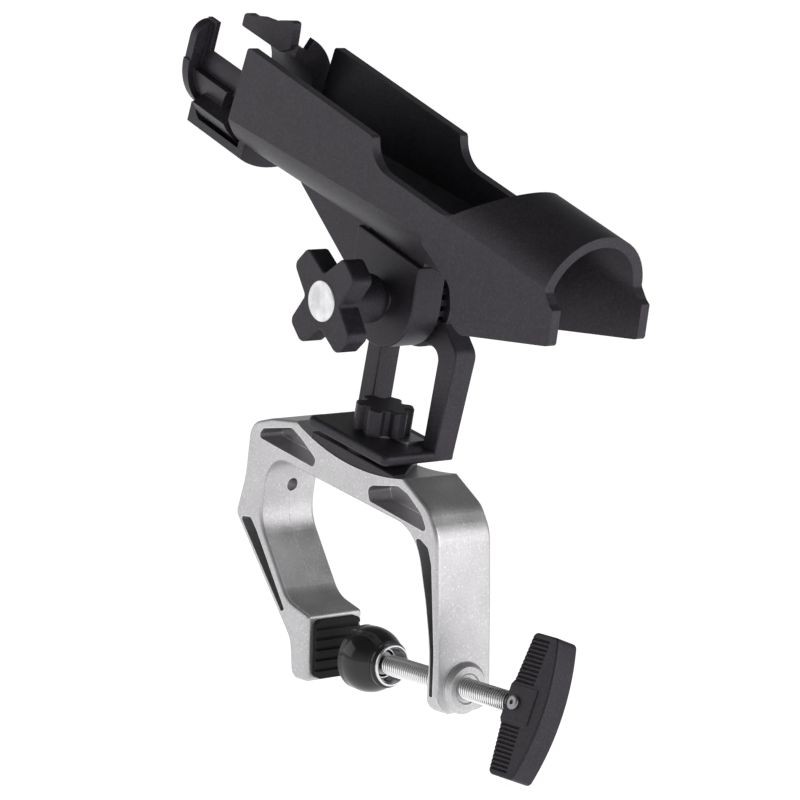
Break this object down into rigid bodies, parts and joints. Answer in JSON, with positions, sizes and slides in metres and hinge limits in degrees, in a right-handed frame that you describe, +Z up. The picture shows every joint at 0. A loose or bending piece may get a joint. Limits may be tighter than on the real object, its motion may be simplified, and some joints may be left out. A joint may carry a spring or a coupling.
{
  "type": "rod holder",
  "caption": "Clamp-on fishing rod holder: cast C-clamp with screw and T-handle, panning swivel bracket, tilting hooded trough and turning locking ring.",
  "frame": {"origin": "centre of the fixed jaw's face, on the clamp screw's axis", "axes": "+X along the clamp screw from the fixed jaw to the handle, +Z up from the jaws to the rod cradle, Y across the clamp's width"},
  "size_m": [0.285, 0.0767, 0.3302],
  "materials": {
    "cast_aluminium": "cast, fine satin sparkle, brighter worn edges",
    "zinc_steel": "bright zinc plate",
    "dark_steel": "dull plated steel",
    "brass": "plain machined",
    "black_plastic": "fine moulded texture",
    "gloss_black": "glossy",
    "rubber": "matte",
    "silver_cap": "matte"
  },
  "bodies": {
    "clamp": {"clamp_frame": "cast_aluminium", "jaw_pad": "rubber", "saddle_block": "black_plastic", "friction_disc": "rubber", "pan_bolt": "dark_steel"},
    "swivel": {"swivel_bracket": "black_plastic", "tilt_nut": "dark_steel", "pan_washer": "dark_steel"},
    "pan_nut_knob": {"pan_knob": "black_plastic", "pan_knob_insert": "brass"},
    "rod_cradle": {"cradle": "black_plastic", "tilt_washer": "dark_steel"},
    "tilt_lock_knob": {"tilt_knob": "black_plastic", "tilt_knob_cap": "silver_cap", "tilt_bolt": "dark_steel"},
    "ring": {"locking_ring": "black_plastic"},
    "pad": {"pressure_pad": "gloss_black", "pad_cup": "zinc_steel", "pad_clip": "dark_steel"},
    "screw": {"clamp_screw": "zinc_steel", "clamp_handle": "black_plastic", "handle_pin": "dark_steel"}
  },
  "joints": [
    {"name": "jaw_travel", "type": "slide", "parent": "clamp", "child": "pad", "axis": [1, 0, 0], "range_m": [-0.015, 0.04]},
    {"name": "screw_spin", "type": "hinge", "parent": "pad", "child": "screw", "pos_m": [0.0285, 0, 0], "axis": [1, 0, 0], "range_deg": [-3600, 9600]},
    {"name": "pan_turn", "type": "hinge", "parent": "clamp", "child": "swivel", "pos_m": [0.0255, 0, 0.1034], "axis": [0.1925, 0, 0.9813], "continuous": true},
    {"name": "pan_knob_spin", "type": "hinge", "parent": "clamp", "child": "pan_nut_knob", "pos_m": [0.02781, 0, 0.11518], "axis": [0.1925, 0, 0.9813], "continuous": true},
    {"name": "tilt_turn", "type": "hinge", "parent": "swivel", "child": "rod_cradle", "pos_m": [0.03755, 0, 0.1739], "axis": [0, 1, 0], "range_deg": [-50, 50]},
    {"name": "tilt_knob_spin", "type": "hinge", "parent": "swivel", "child": "tilt_lock_knob", "pos_m": [0.03755, -0.04, 0.1739], "axis": [0, -1, 0], "continuous": true},
    {"name": "ring_turn", "type": "hinge", "parent": "rod_cradle", "child": "ring", "pos_m": [-0.07814, 0, 0.26852], "axis": [0.9426, 0, -0.3338], "range_deg": [-28, 62]}
  ],
  "couplings": [
    {"joint": "screw_spin", "follows": "jaw_travel", "rad_per_m": 4188.8}
  ]
}
